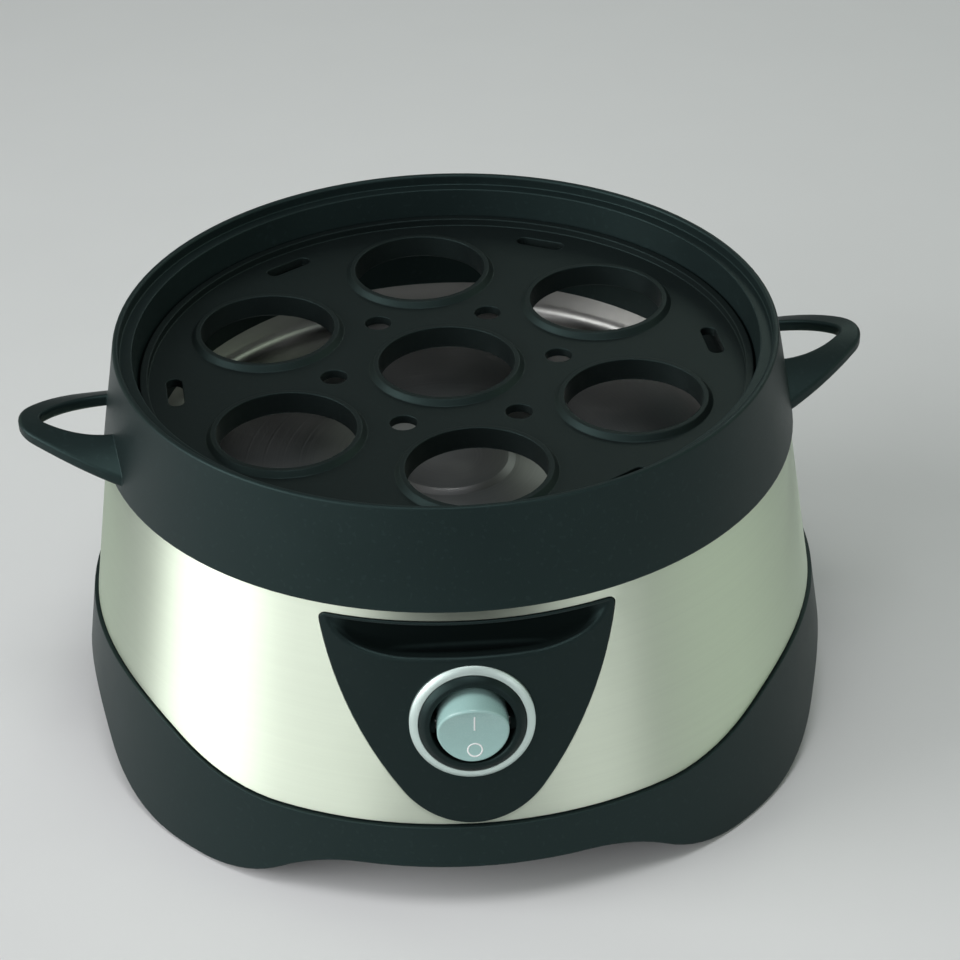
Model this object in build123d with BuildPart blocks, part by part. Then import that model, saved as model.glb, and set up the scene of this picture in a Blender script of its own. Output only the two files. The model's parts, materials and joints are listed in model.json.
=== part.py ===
"""Electric egg cooker: a flared steel base with a rocker switch, and a lift-off egg carrier.

Millimetres. The origin is on the table under the cooker's axis, +Z is up and -Y is the front.
"""

import os
from math import asin, cos, degrees, radians, sin, sqrt, tan

from build123d import *

os.makedirs("parts", exist_ok=True)

# Main sizes
BASE_H = 79.5  # table to the seam between base and carrier
RIM_H = 25.5  # seam to the top of the carrier's rim
BAND_TOP_R = 85.4  # steel's outer radius at the seam
BAND_DRAFT = 8.16  # degrees that the steel flares downwards
COLLAR_LAP = 0.9  # collar stands this far out over the steel
COLLAR_LEAN = 4.3  # collar draws in by this much up to the rim
CARRIER_TURN = 6.7  # degrees the carrier stands turned on the base
RACK_TURN = 5.3  # degrees the rack stands turned

# Sheets and walls
BAND_T = 0.8
HOUSING_WALL = 2.4
PLATE_T = 2.2
PAN_T = 0.9
COLLAR_WALL = 2.0
RACK_T = 2.2

# Clearances
SLEEVE_GAP = 0.1
SEAT_GAP = 0.1
SHADOW_GAP = 0.45
PANEL_GAP = 0.2
SCREW_GAP = 0.05
PIN_GAP = 0.05
PLATE_GAP = 0.3
RACK_GAP = 0.3

# Skirt of the housing
SKIRT_PROUD = 1.0
SKIRT_LOW = 0.8  # foot lobes end this far above the table
SKIRT_FRONT_Z = 23.1  # skirt's top edge at the front
SKIRT_SIDE_Z = 35.0  # and at the sides and the rear
SKIRT_BEND_X = 46.0  # the top edge starts to climb here
ARCH_FRONT_Z = 12.5
ARCH_FRONT_HALF = 27.0  # half the flat crown of the front arch
ARCH_SIDE_Z = 19.3
ARCH_SIDE_HALF = 8.0
LOBE_HALF = 3.2  # half of a foot lobe's flat toe

# Base plate, its legs and rubber feet
PLATE_Z = 20.6  # underside
FOOT_R = 82.0
LEG_R = 8.0
FOOT_PAD_R = 6.5
FOOT_PAD_T = 2.4
FOOT_STEM_R = 3.0
FOOT_STEM_L = 6.0
BOSS_R = 4.2
BOSS_H = 14.0
BOSS_AZIMUTHS = (18, 162, 198, 342)
VENT_COUNT = 16
BASE_SCREW_R = 1.5
BASE_SCREW_L = 11.0
BASE_HEAD_R = 2.9
BASE_HEAD_H = 1.9
BASE_HEAD_SINK = 1.0

# Control panel
PANEL_PROUD = 0.4
PANEL_STRIP = 2.9  # steel left showing above the panel
PANEL_TIP_RISE = 1.0  # tip above the skirt's front edge
PANEL_TOP_HALF = 34.1
PANEL_CORNER_R = 1.6
PANEL_WAIST_HALF = 28.0
PANEL_WAIST_UP = 20.2  # waist point above the lower shoulder
PANEL_SHOULDER_HALF = 16.5
PANEL_SHOULDER_UP = 8.3  # lower shoulder above the tip
PANEL_FLANGE_W = 3.2
PANEL_FLANGE_T = 1.8
RECESS_DEPTH = 7.6
RECESS_H = 8.2
RECESS_LIP = 0.6
RECESS_DIP = 20.0  # degrees that its floor falls inwards
RECESS_R = 1.7
RECESS_WALL = 1.2
RIDGE_R = 1.2
RIDGE_RISE = 7.6  # ridge's ends above its middle
RIDGE_FLAT_HALF = 14.0  # level middle of the ridge
PANEL_SCREW_R = 1.2
PANEL_SCREW_HEAD_R = 2.2
PANEL_SCREW_HEAD_H = 1.4
PANEL_SCREW_L = 3.2
PANEL_SCREW_DROPS = (12.0, 31.0)  # below the seam

# Switch
SWITCH_DROP = 28.6  # centre below the seam
RING_R = 14.65
RING_W = 2.0
RING_SINK = 1.6
RING_RISE = 0.85
COLLAR_RISE = 2.2  # the dark collar's mouth above the panel
MOUTH_STEP = 2.75  # from the ring's inner edge in to the mouth
MOUTH_LIP = 0.6
TUBE_WALL = 1.2
SWITCH_DEPTH = 16.5
SWITCH_BACK_T = 1.6
ROCKER_GAP = 1.5  # round the rocker in the mouth
ROCKER_EDGE = 5.4  # face's ends above the pivot
ROCKER_HOLLOW_R = 22.0  # radius of the face's hollow
ROCKER_ROUND = 0.5
ROCKER_ROOT = 3.2  # cap's lower end below the pivot
ROCKER_TILT = 16.0  # degrees to each side of centre
PIVOT_DROP = 0.5  # pivot below the panel's face
PIVOT_R = 1.5
PIVOT_REACH = 0.9  # pin in the switch body
BEARING_WALL = 0.8  # round the pin, on the switch body
BEARING_GAP = 0.3  # beside the rocker
STEM_R = 2.8
STEM_END = 6.4
PLUNGER_R = 1.4
PLUNGER_END = 9.2
PLUNGER_SUNK = 2.2
SPRING_WIRE_R = 0.2
SPRING_R = 1.1
SPRING_TURNS = 4
BORE_TOP = 0.8
LEVER_DROP = 11.0  # contact lever's pivot below the panel's face
LEVER_TILT = 6.0
LEVER_HALF = 6.2
LEVER_W = 5.0
LEVER_T = 0.6
LEVER_BEAD_R = 0.7
BLADE_W = 6.3
BLADE_T = 0.8
BLADE_OUT = 9.0  # blade's length behind the switch
CRADLE_HALF = 1.4
CRADLE_H = 2.0
CRADLE_DROP = 0.3
OUT_Y = 5.0  # output contact under the lever's lower arm
PAD_R = 1.3
CONTACT_GAP = 0.2  # left between the closed contacts
SNAP_W = 6.0
SNAP_H = 2.0
SNAP_OUT = 1.2
SNAP_GAP = 1.2  # behind the panel

# Heating pan and what hangs under it
PAN_DEPTH = 14.0
PAN_RIM_W = 7.9  # pan's flange
PAN_WALL_LEAN = 1.4
PAN_CORNER = 4.0
PAN_DIMPLE_R = 15.0
PAN_DIMPLE_H = 0.9
GASKET_T = 1.0
GASKET_W = 3.2
LEDGE_T = 2.4
LEDGE_CLEAR = 1.2
SPREADER_R = 57.0
SPREADER_T = 3.0
SPREADER_HOLE_R = 12.0
ELEMENT_R = 44.0
ELEMENT_TUBE_R = 3.2
ELEMENT_SINK = 2.2  # how deep the tube lies in the spreader
ELEMENT_GAP_DEG = 56.0
ELEMENT_TURN_R = 9.0
ELEMENT_TAIL = 9.0
ELEMENT_PIN_R = 1.6
ELEMENT_PIN_L = 7.0
STUD_R = 2.0
STUD_CIRCLE = 66.0
STUD_L = 20.0
STUD_AZIMUTHS = (90, 210, 330)
LUG_W = 12.0
LUG_T = 4.0
LUG_DROP = 12.5  # lug's top below the pan's floor
NUT_R = 4.0
NUT_H = 3.2
THERMO_R = 8.0
THERMO_H = 7.0
THERMO_CAP_R = 9.2
THERMO_BLADE_L = 7.0
BRACKET_L = 52.0
BRACKET_W = 14.0
BRACKET_T = 1.0
BRACKET_EYE = 4.5  # metal left round the thermostat
BRACKET_SCREW_X = 20.0
SPREADER_SCREW_R = 1.5
SPREADER_HEAD_R = 2.6
SPREADER_HEAD_H = 1.6
SPREADER_BITE = 2.5
FUSE_R = 2.6
FUSE_L = 24.0
FUSE_Y = -27.0
FUSE_LEAD_R = 0.6
FUSE_LEAD_L = 5.0
STRAP_W = 7.0
STRAP_HALF = 10.0
STRAP_SCREW_Y = 6.8

# Mains entry
GLAND_Z = 29.2
GLAND_BORE_R = 3.4
GLAND_BODY_R = 4.6
GLAND_FLANGE_R = 5.4
GLAND_FLANGE_T = 1.6
GLAND_INSIDE = 6.0
GLAND_LOCK_T = 1.4
GLAND_LOCK_GAP = 0.4
CLAMP_INSET = 18.0  # clamp's distance inside the cavity wall
CLAMP_HALF = 9.0
CLAMP_POST_R = 3.2
CLAMP_W = 8.0
CLAMP_T = 3.0
CLAMP_BITE = 6.6  # cord diameter the clamp holds
CLAMP_SCREW_L = 8.0
BLOCK_L = 32.0
BLOCK_W = 12.0
BLOCK_H = 13.0
BLOCK_Y = 44.0
POLE_PITCH = 10.0
POLE_R = 1.4
POLE_UP = 6.0  # wire holes above the base plate
POLE_DEPTH = 4.0  # wire inside the block
POLE_SCREW_R = 1.8
BLOCK_SCREW_SINK = 3.0
WIRE_R = 1.2
WIRE_BEND = 5.0
LIVE_KNEE = (-16.0, -40.0, 36.0)
SWITCHED_KNEE_Y = -14.0
FUSE_KNEE = (18.0, -8.0)
EARTH_KNEE = (40.0, -20.0)
EARTH_CLIMB = 3.0

# Carrier
RIM_W = 1.5
LID_STEP_H = 2.8
LID_STEP_W = 3.0
INNER_LEAN = 1.2
RACK_DROP = 12.0  # rack's top below the rim
RACK_STEP_W = 2.4
INNER_DIP = 4.0  # inner wall below the seam
HANDLE_TIP = 20.1  # handle's tip outside the collar's lower edge
HANDLE_TOP = 11.9  # crest above the seam
HANDLE_T = 3.0
HANDLE_ARCH_R = 32.5  # its top is arched from side to side
HANDLE_ROOT_HALF = 20.8
HANDLE_TIP_R = 10.0
GRIP_TIP = 5.5  # bar left between the hole and the tip
GRIP_HALF = 8.8
GRIP_TIP_R = 3.0
HANDLE_ROUND = 0.8

# Egg rack
EGG_HOLE_R = 17.0
EGG_EDGE = 10.0  # from a hole to the rack's edge
EGG_COUNT = 6
LIP_W = 2.4
LIP_H = 1.4
LIP_DROP = 2.2
STEAM_HOLE_R = 3.4
SLOT_W = 4.0
SLOT_L = 13.0
SLOT_EDGE = 8.4
RACK_RIM_H = 2.0
RACK_RIM_W = 1.8

# Worked-out heights and radii
SLOPE = tan(radians(BAND_DRAFT))
COLLAR_R = BAND_TOP_R + COLLAR_LAP
RIM_R = COLLAR_R - COLLAR_LEAN
RIM_Z = BASE_H + RIM_H
PLATE_TOP = PLATE_Z + PLATE_T
FLANGE_TOP = BASE_H - SEAT_GAP
FLANGE_LOW = FLANGE_TOP - PAN_T
HOUSING_TOP = FLANGE_LOW - GASKET_T
PANEL_TOP = BASE_H - PANEL_STRIP
PANEL_TIP = SKIRT_FRONT_Z + PANEL_TIP_RISE
SWITCH_Z = BASE_H - SWITCH_DROP
RING_IN = RING_R - RING_W
MOUTH_R = RING_IN - MOUTH_STEP
SWITCH_TUBE_R = MOUTH_R + TUBE_WALL
ROCKER_R = MOUTH_R - ROCKER_GAP
PAN_FLOOR = BASE_H - PAN_DEPTH
PAN_UNDER = PAN_FLOOR - PAN_T
PAN_WALL_R = BAND_TOP_R - PAN_RIM_W
SPREADER_LOW = PAN_UNDER - SPREADER_T
ELEMENT_Z = SPREADER_LOW - ELEMENT_TUBE_R + ELEMENT_SINK
LUG_TOP = PAN_FLOOR - LUG_DROP
RACK_TOP = RIM_Z - RACK_DROP
RACK_LOW = RACK_TOP - RACK_T
FAR = 2 * (BAND_TOP_R + BASE_H)


def band_r(z):
    """Steel's outer radius at height z."""
    return BAND_TOP_R + SLOPE * (BASE_H - z)


def shell_r(z):
    """Housing's outer radius behind the steel."""
    return band_r(z) - BAND_T - SLEEVE_GAP


def cavity_r(z):
    """Housing's inner radius."""
    return shell_r(z) - HOUSING_WALL


def skirt_r(z):
    """Skirt's outer radius."""
    return band_r(z) + SKIRT_PROUD


def panel_r(z):
    """Control panel's outer radius."""
    return band_r(z) + PANEL_PROUD


def collar_r(z):
    """Carrier collar's outer radius."""
    return COLLAR_R - COLLAR_LEAN * (z - BASE_H) / RIM_H


def flange_out_r(z):
    """Outer radius of the panel's flange, inside the housing's wall."""
    return cavity_r(z) - SLEEVE_GAP


def flange_in_r(z):
    """Inner radius of the panel's flange."""
    return flange_out_r(z) - PANEL_FLANGE_T


def flared(radius, low, high):
    """(radius, height) points at both ends of a straight wall."""
    return [(radius(low), low), (radius(high), high)]


def cone_plane(azimuth, z, r):
    """Plane on the flared side, its normal pointing out of the wall."""
    across, along = sin(radians(azimuth)), cos(radians(azimuth))
    lean, level = sin(radians(BAND_DRAFT)), cos(radians(BAND_DRAFT))
    return Plane(
        origin=(r * along, r * across, z),
        x_dir=(-across, along, 0),
        z_dir=(along * level, across * level, lean),
    )


def section_plane(plane):
    """Plane in which (radius, height) points over another plane are drawn."""
    return Plane(origin=plane.origin, x_dir=plane.x_dir, z_dir=-plane.y_dir)


def turned(points, plane=Plane.XY):
    """Solid of revolution about a plane's normal from (radius, height) points."""
    with BuildPart(mode=Mode.PRIVATE) as solid:
        with BuildSketch(section_plane(plane)):
            with BuildLine():
                Polyline(*points, close=True)
            make_face()
        revolve(axis=Axis(plane.origin, plane.z_dir))
    return solid.part


def front_prism(outline, near, far):
    """Front-view sketch pushed along Y from y = near to y = far."""
    with BuildPart(mode=Mode.PRIVATE) as solid:
        with BuildSketch(Plane.XZ.offset(-near)):
            add(outline)
        extrude(amount=near - far)
    return solid.part


def bar(plane, radius, low, high):
    """Round bar along a plane's normal between two heights over it."""
    with BuildPart(mode=Mode.PRIVATE) as solid:
        with BuildSketch(plane.offset(low)):
            Circle(radius)
        extrude(amount=high - low)
    return solid.part


def block(plane, size_x, size_y, low, high, x=0.0, y=0.0):
    """Rectangular block over a plane, centred at x, y on it."""
    with BuildPart(mode=Mode.PRIVATE) as solid:
        with BuildSketch(plane.offset(low)):
            with Locations((x, y)):
                Rectangle(size_x, size_y)
        extrude(amount=high - low)
    return solid.part


def save(builder, name):
    """Label a finished piece and write its STEP file."""
    builder.part.label = name
    export_step(builder.part, f"parts/{name}.step")


# Front-view outlines
def arch_outline(flat_half, crown, toe):
    """Tunnel under the base: a flat crown that sweeps down to the toes."""
    with BuildSketch(mode=Mode.PRIVATE) as outline:
        with BuildLine():
            middle = ((flat_half + toe) / 2, (crown + SKIRT_LOW) / 2)
            right_crown = TangentArc((flat_half, crown), middle, tangent=(1, 0))
            right_toe = TangentArc(middle, (toe, SKIRT_LOW), tangent=right_crown % 1)
            mirror([right_crown, right_toe], about=Plane.YZ)
            Line((-flat_half, crown), (flat_half, crown))
            Polyline((toe, SKIRT_LOW), (toe, -FAR), (-toe, -FAR), (-toe, SKIRT_LOW))
        make_face()
    return outline.sketch


def skirt_outline(raise_by):
    """Everything under the skirt's top edge as seen from the front, raised by a little."""
    front, side = SKIRT_FRONT_Z + raise_by, SKIRT_SIDE_Z + raise_by
    edge = skirt_r(SKIRT_SIDE_Z)
    with BuildSketch(mode=Mode.PRIVATE) as outline:
        with BuildLine():
            middle = ((SKIRT_BEND_X + edge) / 2, (front + side) / 2)
            climb = TangentArc((SKIRT_BEND_X, front), middle, tangent=(1, 0))
            crest = TangentArc(middle, (edge, side), tangent=climb % 1)
            mirror([climb, crest], about=Plane.YZ)
            Line((-SKIRT_BEND_X, front), (SKIRT_BEND_X, front))
            Polyline((edge, side), (FAR, side), (FAR, -FAR), (-FAR, -FAR), (-FAR, side), (-edge, side))
        make_face()
    return outline.sketch


def shield_outline(grow):
    """Control panel seen from the front, grown by a margin."""
    shoulder = PANEL_TIP + PANEL_SHOULDER_UP
    low_left, low_right = (-PANEL_SHOULDER_HALF, shoulder), (PANEL_SHOULDER_HALF, shoulder)
    waist = shoulder + PANEL_WAIST_UP
    with BuildSketch(mode=Mode.PRIVATE) as outline:
        with BuildLine():
            ThreePointArc(low_left, (0, PANEL_TIP), low_right)
            ThreePointArc(low_right, (PANEL_WAIST_HALF, waist), (PANEL_TOP_HALF, PANEL_TOP))
            ThreePointArc(low_left, (-PANEL_WAIST_HALF, waist), (-PANEL_TOP_HALF, PANEL_TOP))
            Line((-PANEL_TOP_HALF, PANEL_TOP), (PANEL_TOP_HALF, PANEL_TOP))
        make_face()
        fillet(outline.vertices().group_by(Axis.Y)[-1], PANEL_CORNER_R)
        if grow:
            offset(amount=grow, mode=Mode.REPLACE)
    return outline.sketch


def shield_half(z):
    """Half the panel's width at height z, from the circle through its side's three points."""
    low, high = PANEL_SHOULDER_HALF, PANEL_TOP_HALF
    low_z = PANEL_TIP + PANEL_SHOULDER_UP
    waist_z = low_z + PANEL_WAIST_UP
    rows = []
    for x, height in ((low, low_z), (high, PANEL_TOP)):
        square = (x * x - PANEL_WAIST_HALF**2 + height * height - waist_z**2) / 2
        rows.append((x - PANEL_WAIST_HALF, height - waist_z, square))
    (ax, az, a), (bx, bz, b) = rows
    centre_x = (a * bz - b * az) / (ax * bz - bx * az)
    centre_z = (ax * b - bx * a) / (ax * bz - bx * az)
    reach = (low - centre_x) ** 2 + (low_z - centre_z) ** 2
    return centre_x + sqrt(reach - (z - centre_z) ** 2)


def panel_screw(drop, side):
    """Plane of a panel screw, in the middle of the flange beside the panel's face."""
    z = BASE_H - drop
    r = flange_in_r(z)
    turn = degrees(asin((shield_half(z) + PANEL_FLANGE_W / 2) / r))
    return cone_plane(-90 + side * turn, z, r)


def under_skirt_edge(raise_by):
    """Solid below the skirt's top edge: shaped at the front, level behind."""
    front = front_prism(skirt_outline(raise_by), 0, -FAR)
    rear = block(Plane.XY, 2 * FAR, FAR, -FAR, SKIRT_SIDE_Z + raise_by, y=FAR / 2)
    return front + rear


TOE_X = skirt_r(SKIRT_LOW) * cos(radians(45)) - LOBE_HALF
FRONT_TUNNEL = front_prism(arch_outline(ARCH_FRONT_HALF, ARCH_FRONT_Z, TOE_X), FAR, -FAR)
SIDE_TUNNEL = front_prism(arch_outline(ARCH_SIDE_HALF, ARCH_SIDE_Z, TOE_X), FAR, -FAR).rotate(Axis.Z, 90)
FOOT_SPOTS = {
    "front_right": (FOOT_R * cos(radians(-45)), FOOT_R * sin(radians(-45))),
    "rear_right": (FOOT_R * cos(radians(45)), FOOT_R * sin(radians(45))),
    "rear_left": (FOOT_R * cos(radians(135)), FOOT_R * sin(radians(135))),
    "front_left": (FOOT_R * cos(radians(225)), FOOT_R * sin(radians(225))),
}
BOSS_CIRCLE = cavity_r(PLATE_TOP + BOSS_H) - BOSS_R + 1
BOSS_SPOTS = [(BOSS_CIRCLE * cos(radians(a)), BOSS_CIRCLE * sin(radians(a))) for a in BOSS_AZIMUTHS]
PANEL_SCREWS = [panel_screw(drop, side) for drop in PANEL_SCREW_DROPS for side in (-1, 1)]
SWITCH = cone_plane(-90, SWITCH_Z, panel_r(SWITCH_Z))
GLAND = Plane(
    origin=(0, skirt_r(GLAND_Z), GLAND_Z), x_dir=(-1, 0, 0), z_dir=cone_plane(90, GLAND_Z, 0).z_dir
)
GLAND_WALL = SKIRT_PROUD + BAND_T + SLEEVE_GAP + HOUSING_WALL

# Base housing: inner wall behind the steel, proud skirt, ledge for the pan, bosses and lugs
with BuildPart() as base_housing:
    add(turned(flared(shell_r, SKIRT_LOW, HOUSING_TOP) + flared(cavity_r, SKIRT_LOW, HOUSING_TOP)[::-1]))
    skirt_top = SKIRT_SIDE_Z + SKIRT_SIDE_Z
    skirt = turned(flared(skirt_r, SKIRT_LOW, skirt_top) + flared(cavity_r, SKIRT_LOW, skirt_top)[::-1])
    add(skirt & under_skirt_edge(0))
    ledge_in = PAN_WALL_R + PAN_T + LEDGE_CLEAR
    ledge_low = HOUSING_TOP - LEDGE_T
    add(turned([(ledge_in, ledge_low), (ledge_in, HOUSING_TOP)] + flared(shell_r, HOUSING_TOP, ledge_low)))
    with BuildSketch(Plane.XY.offset(PLATE_TOP)):
        with Locations(*BOSS_SPOTS):
            Circle(BOSS_R)
    extrude(amount=BOSS_H)
    with BuildSketch(Plane.XY.offset(LUG_TOP - LUG_T)):
        for azimuth in STUD_AZIMUTHS:
            lug_out = cavity_r(LUG_TOP) + HOUSING_WALL / 2
            lug_in = STUD_CIRCLE - LUG_W / 2
            with Locations(Rotation(0, 0, azimuth) * Location(((lug_in + lug_out) / 2, 0))):
                Rectangle(lug_out - lug_in, LUG_W)
    extrude(amount=LUG_T)
    add(FRONT_TUNNEL, mode=Mode.SUBTRACT)
    add(SIDE_TUNNEL, mode=Mode.SUBTRACT)
    add(front_prism(shield_outline(PANEL_GAP), 0, -FAR), mode=Mode.SUBTRACT)
    with BuildSketch(Plane.XY.offset(PLATE_TOP)):
        with Locations(*BOSS_SPOTS):
            Circle(BASE_SCREW_R + SCREW_GAP)
    extrude(amount=BASE_SCREW_L, mode=Mode.SUBTRACT)
    with BuildSketch(Plane.XY.offset(LUG_TOP)):
        with PolarLocations(STUD_CIRCLE, len(STUD_AZIMUTHS), start_angle=STUD_AZIMUTHS[0]):
            Circle(STUD_R + SCREW_GAP)
    extrude(amount=-LUG_T, mode=Mode.SUBTRACT)
    for spot in PANEL_SCREWS:
        add(bar(spot, PANEL_SCREW_R + SCREW_GAP, 0, PANEL_SCREW_L + SCREW_GAP), mode=Mode.SUBTRACT)
    add(bar(GLAND, GLAND_BODY_R + SCREW_GAP, -2 * GLAND_WALL, GLAND_WALL), mode=Mode.SUBTRACT)
save(base_housing, "base_housing")

# Steel band
with BuildPart() as steel_band:
    low = SKIRT_FRONT_Z
    inner = [(radius - BAND_T, height) for radius, height in flared(band_r, low, FLANGE_TOP)]
    add(turned(flared(band_r, low, FLANGE_TOP) + inner[::-1]))
    add(under_skirt_edge(SHADOW_GAP), mode=Mode.SUBTRACT)
    add(front_prism(shield_outline(PANEL_GAP), 0, -FAR), mode=Mode.SUBTRACT)
save(steel_band, "steel_band")

# Base plate with its four legs
with BuildPart() as base_plate:
    plate_r = cavity_r(PLATE_TOP) - PLATE_GAP
    with BuildSketch(Plane.XY.offset(PLATE_Z)):
        Circle(plate_r)
    extrude(amount=PLATE_T)
    with BuildSketch(Plane.XY.offset(PLATE_Z)):
        with Locations(*FOOT_SPOTS.values()):
            Circle(LEG_R)
    extrude(amount=FOOT_PAD_T - PLATE_Z)
    clamp_y = cavity_r(PLATE_TOP) - CLAMP_INSET
    with BuildSketch(Plane.XY.offset(PLATE_TOP)):
        with Locations((-CLAMP_HALF, clamp_y), (CLAMP_HALF, clamp_y)):
            Circle(CLAMP_POST_R)
    extrude(amount=GLAND_Z + CLAMP_BITE / 2 - PLATE_TOP)
    with BuildSketch(Plane.XY.offset(FOOT_PAD_T)):
        with Locations(*FOOT_SPOTS.values()):
            Circle(FOOT_STEM_R + SCREW_GAP)
    extrude(amount=FOOT_STEM_L + SEAT_GAP, mode=Mode.SUBTRACT)
    with Locations(*[(x, y, PLATE_Z) for x, y in BOSS_SPOTS]):
        with Locations(Rotation(180, 0, 0)):
            CounterBoreHole(BASE_SCREW_R + 2 * SCREW_GAP, BASE_HEAD_R + PLATE_GAP, BASE_HEAD_SINK, PLATE_T)
    with BuildSketch(Plane.XY.offset(PLATE_Z)):
        with PolarLocations(PAN_WALL_R / 2, VENT_COUNT):
            SlotOverall(PAN_WALL_R / 4, SLOT_W)
        with Locations((-POLE_PITCH / 2, BLOCK_Y), (POLE_PITCH / 2, BLOCK_Y)):
            Circle(PANEL_SCREW_R + SCREW_GAP)
    extrude(amount=PLATE_T, mode=Mode.SUBTRACT)
    with BuildSketch(Plane.XY.offset(PLATE_TOP)):
        with Locations((-CLAMP_HALF, clamp_y), (CLAMP_HALF, clamp_y)):
            Circle(PANEL_SCREW_R + SCREW_GAP)
    extrude(amount=GLAND_Z + CLAMP_BITE / 2 - PLATE_TOP, mode=Mode.SUBTRACT)
save(base_plate, "base_plate")

# Rubber feet, one under each leg
for corner, (x, y) in FOOT_SPOTS.items():
    with BuildPart() as rubber_foot:
        with BuildSketch():
            with Locations((x, y)):
                Circle(FOOT_PAD_R)
        extrude(amount=FOOT_PAD_T)
        fillet(rubber_foot.edges().group_by(Axis.Z)[0], FOOT_PAD_T / 3)
        with BuildSketch(Plane.XY.offset(FOOT_PAD_T)):
            with Locations((x, y)):
                Circle(FOOT_STEM_R)
        extrude(amount=FOOT_STEM_L)
    save(rubber_foot, f"rubber_foot_{corner}")

# Screws that hold the base plate
with BuildPart() as base_screws:
    head_top = PLATE_Z + BASE_HEAD_SINK
    with BuildSketch(Plane.XY.offset(head_top - BASE_HEAD_H)):
        with Locations(*BOSS_SPOTS):
            Circle(BASE_HEAD_R)
    extrude(amount=BASE_HEAD_H)
    with BuildSketch(Plane.XY.offset(head_top)):
        with Locations(*BOSS_SPOTS):
            Circle(BASE_SCREW_R)
    extrude(amount=BASE_SCREW_L)
    with BuildSketch(Plane.XY.offset(head_top - BASE_HEAD_H)):
        with Locations(*BOSS_SPOTS):
            Rectangle(BASE_HEAD_R, BASE_HEAD_R / 4)
            Rectangle(BASE_HEAD_R / 4, BASE_HEAD_R)
    extrude(amount=BASE_HEAD_H / 2, mode=Mode.SUBTRACT)
save(base_screws, "base_screws")

# Control panel: shield face, finger recess with its pocket, flange inside the housing
RECESS_LOW = PANEL_TOP - RECESS_LIP - RECESS_H
RECESS_BACK = -panel_r(RECESS_LOW) + RECESS_DEPTH
RECESS_SLOPE = tan(radians(RECESS_DIP))
RECESS_FLOOR = RECESS_LOW - RECESS_SLOPE * RECESS_DEPTH
with BuildPart() as control_panel:
    face = turned(flared(panel_r, PLATE_TOP, BASE_H) + flared(flange_in_r, BASE_H, PLATE_TOP))
    add(face & front_prism(shield_outline(0), 0, -FAR))
    pocket_low = RECESS_FLOOR - RECESS_WALL
    pocket = turned([(0, pocket_low)] + flared(panel_r, pocket_low, BASE_H) + [(0, BASE_H)])
    add(pocket & front_prism(shield_outline(0), RECESS_BACK + RECESS_WALL, -FAR))
    low, high = PLATE_TOP + PLATE_GAP, HOUSING_TOP - LEDGE_T - PANEL_GAP
    flange = turned(flared(flange_out_r, low, high) + flared(flange_in_r, high, low))
    add(flange & front_prism(shield_outline(PANEL_FLANGE_W), 0, -FAR))
    with BuildPart(mode=Mode.PRIVATE) as recess:
        end_z, top_z = RECESS_LOW + RIDGE_RISE, RIM_Z
        left, right = -PANEL_TOP_HALF, PANEL_TOP_HALF
        face_r = panel_r(RECESS_LOW)
        flat_z = RECESS_FLOOR + RECESS_SLOPE * (face_r - sqrt(face_r**2 - RIDGE_FLAT_HALF**2))
        with BuildSketch(Plane.XZ.offset(-RECESS_BACK)):
            with BuildLine():
                flat = ThreePointArc((-RIDGE_FLAT_HALF, flat_z), (0, RECESS_FLOOR), (RIDGE_FLAT_HALF, flat_z))
                TangentArc(flat @ 0, (left, end_z), tangent=(flat % 0) * -1)
                TangentArc(flat @ 1, (right, end_z), tangent=flat % 1)
                Polyline((left, end_z), (left, top_z), (right, top_z), (right, end_z))
            make_face()
        extrude(amount=FAR, dir=(0, -1, RECESS_SLOPE))
        back = recess.faces().sort_by(Axis.Y)[-1]
        fillet(back.edges().filter_by(lambda edge: edge.center().Z < end_z), RECESS_R)
        ceiling = block(Plane.XY, 2 * FAR, 2 * FAR, 0, PANEL_TOP - RECESS_LIP)
        add(ceiling, mode=Mode.INTERSECT)
    add(recess.part, mode=Mode.SUBTRACT)
    ridge = control_panel.edges().filter_by(
        lambda edge: edge.length > RIDGE_FLAT_HALF
        and edge.center().Y < RECESS_BACK - RECESS_R
        and RECESS_LOW - SCREW_GAP < edge.center().Z < end_z
    )
    fillet(ridge, RIDGE_R)
    add(bar(SWITCH, RING_R + SCREW_GAP, -RING_SINK, FAR / 4), mode=Mode.SUBTRACT)
    add(bar(SWITCH, SWITCH_TUBE_R + SCREW_GAP, -FAR / 8, FAR / 8), mode=Mode.SUBTRACT)
    for spot in PANEL_SCREWS:
        add(bar(spot, PANEL_SCREW_R + 2 * SCREW_GAP, -PANEL_SCREW_L, PANEL_SCREW_L), mode=Mode.SUBTRACT)
save(control_panel, "control_panel")

with BuildPart() as panel_screws:
    for spot in PANEL_SCREWS:
        add(bar(spot, PANEL_SCREW_HEAD_R, -PANEL_SCREW_HEAD_H - SCREW_GAP, -SCREW_GAP))
        add(bar(spot, PANEL_SCREW_R, -SCREW_GAP, PANEL_SCREW_L))
save(panel_screws, "panel_screws")

# Switch: pale ring, dark body with a raised mouth
with BuildPart() as switch_ring:
    with BuildSketch(section_plane(SWITCH)):
        with BuildLine():
            TangentArc((RING_R, 0), (RING_IN, RING_RISE), tangent=(-1, 1))
            Polyline((RING_IN, RING_RISE), (RING_IN, -RING_SINK), (RING_R, -RING_SINK), (RING_R, 0))
        make_face()
    revolve(axis=Axis(SWITCH.origin, SWITCH.z_dir))
save(switch_ring, "switch_ring")

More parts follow.
